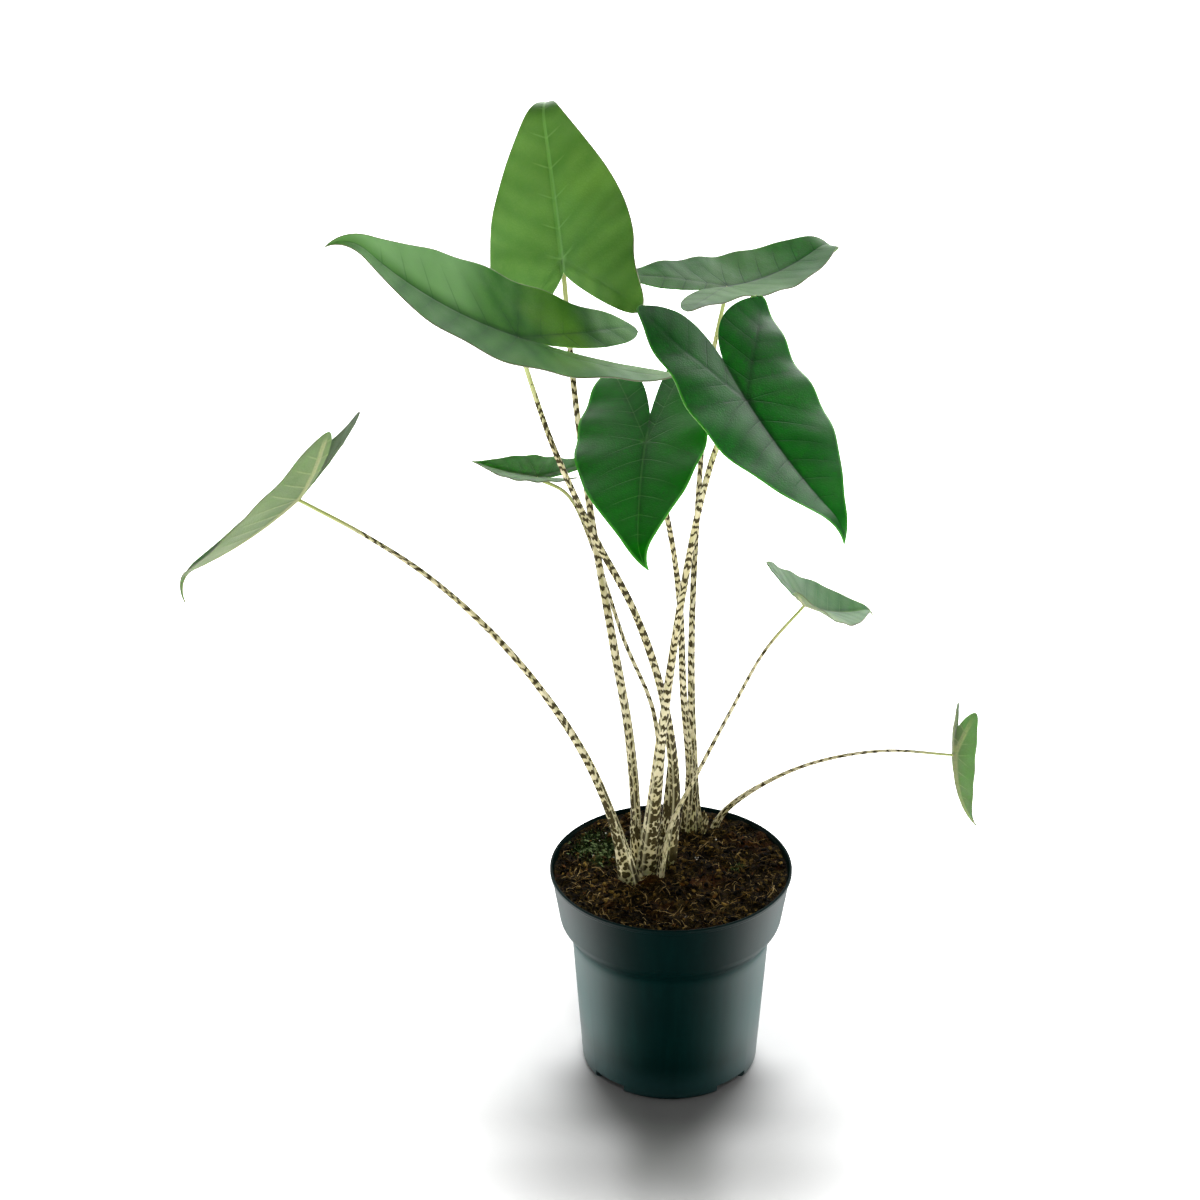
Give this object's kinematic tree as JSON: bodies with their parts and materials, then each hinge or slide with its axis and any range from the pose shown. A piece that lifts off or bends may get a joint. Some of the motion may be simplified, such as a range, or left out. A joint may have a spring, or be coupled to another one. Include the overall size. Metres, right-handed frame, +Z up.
{
  "type": "potted zebrina alocasia",
  "caption": "Potted alocasia: arrow-shaped leaves on long zebra-marked stalks that rise from the soil of a round tapered plastic nursery pot with a wide collar.",
  "frame": {"origin": "on the pot's axis, on the surface the pot stands on", "axes": "+Z up along the pot's axis, -Y towards the plant's front, +X to the right seen from the front"},
  "size_m": [0.6207, 0.4254, 0.7684],
  "materials": {
    "pot_plastic": "satin dark teal plastic",
    "soil": "moist fibrous potting soil",
    "tuber": "rough brown skin",
    "stalk": "smooth, cream with dark brown bands",
    "leaf_bright": "satin mid green",
    "leaf_dark": "glossy dark green",
    "leaf_pale": "satin greyish green"
  },
  "bodies": {
    "root": {"pot": "pot_plastic", "soil": "soil", "corm_front": "tuber", "corm_back": "tuber", "petiole_a": "stalk", "petiole_b": "stalk", "petiole_c": "stalk", "petiole_d": "stalk", "petiole_e": "stalk", "petiole_f": "stalk", "petiole_g": "stalk", "petiole_h": "stalk", "petiole_i": "stalk", "leaf_a": "leaf_bright", "leaf_b": "leaf_bright", "leaf_c": "leaf_dark", "leaf_d": "leaf_dark", "leaf_e": "leaf_dark", "leaf_f": "leaf_pale", "leaf_g": "leaf_pale", "leaf_h": "leaf_pale", "leaf_i": "leaf_pale"}
  },
  "joints": []
}
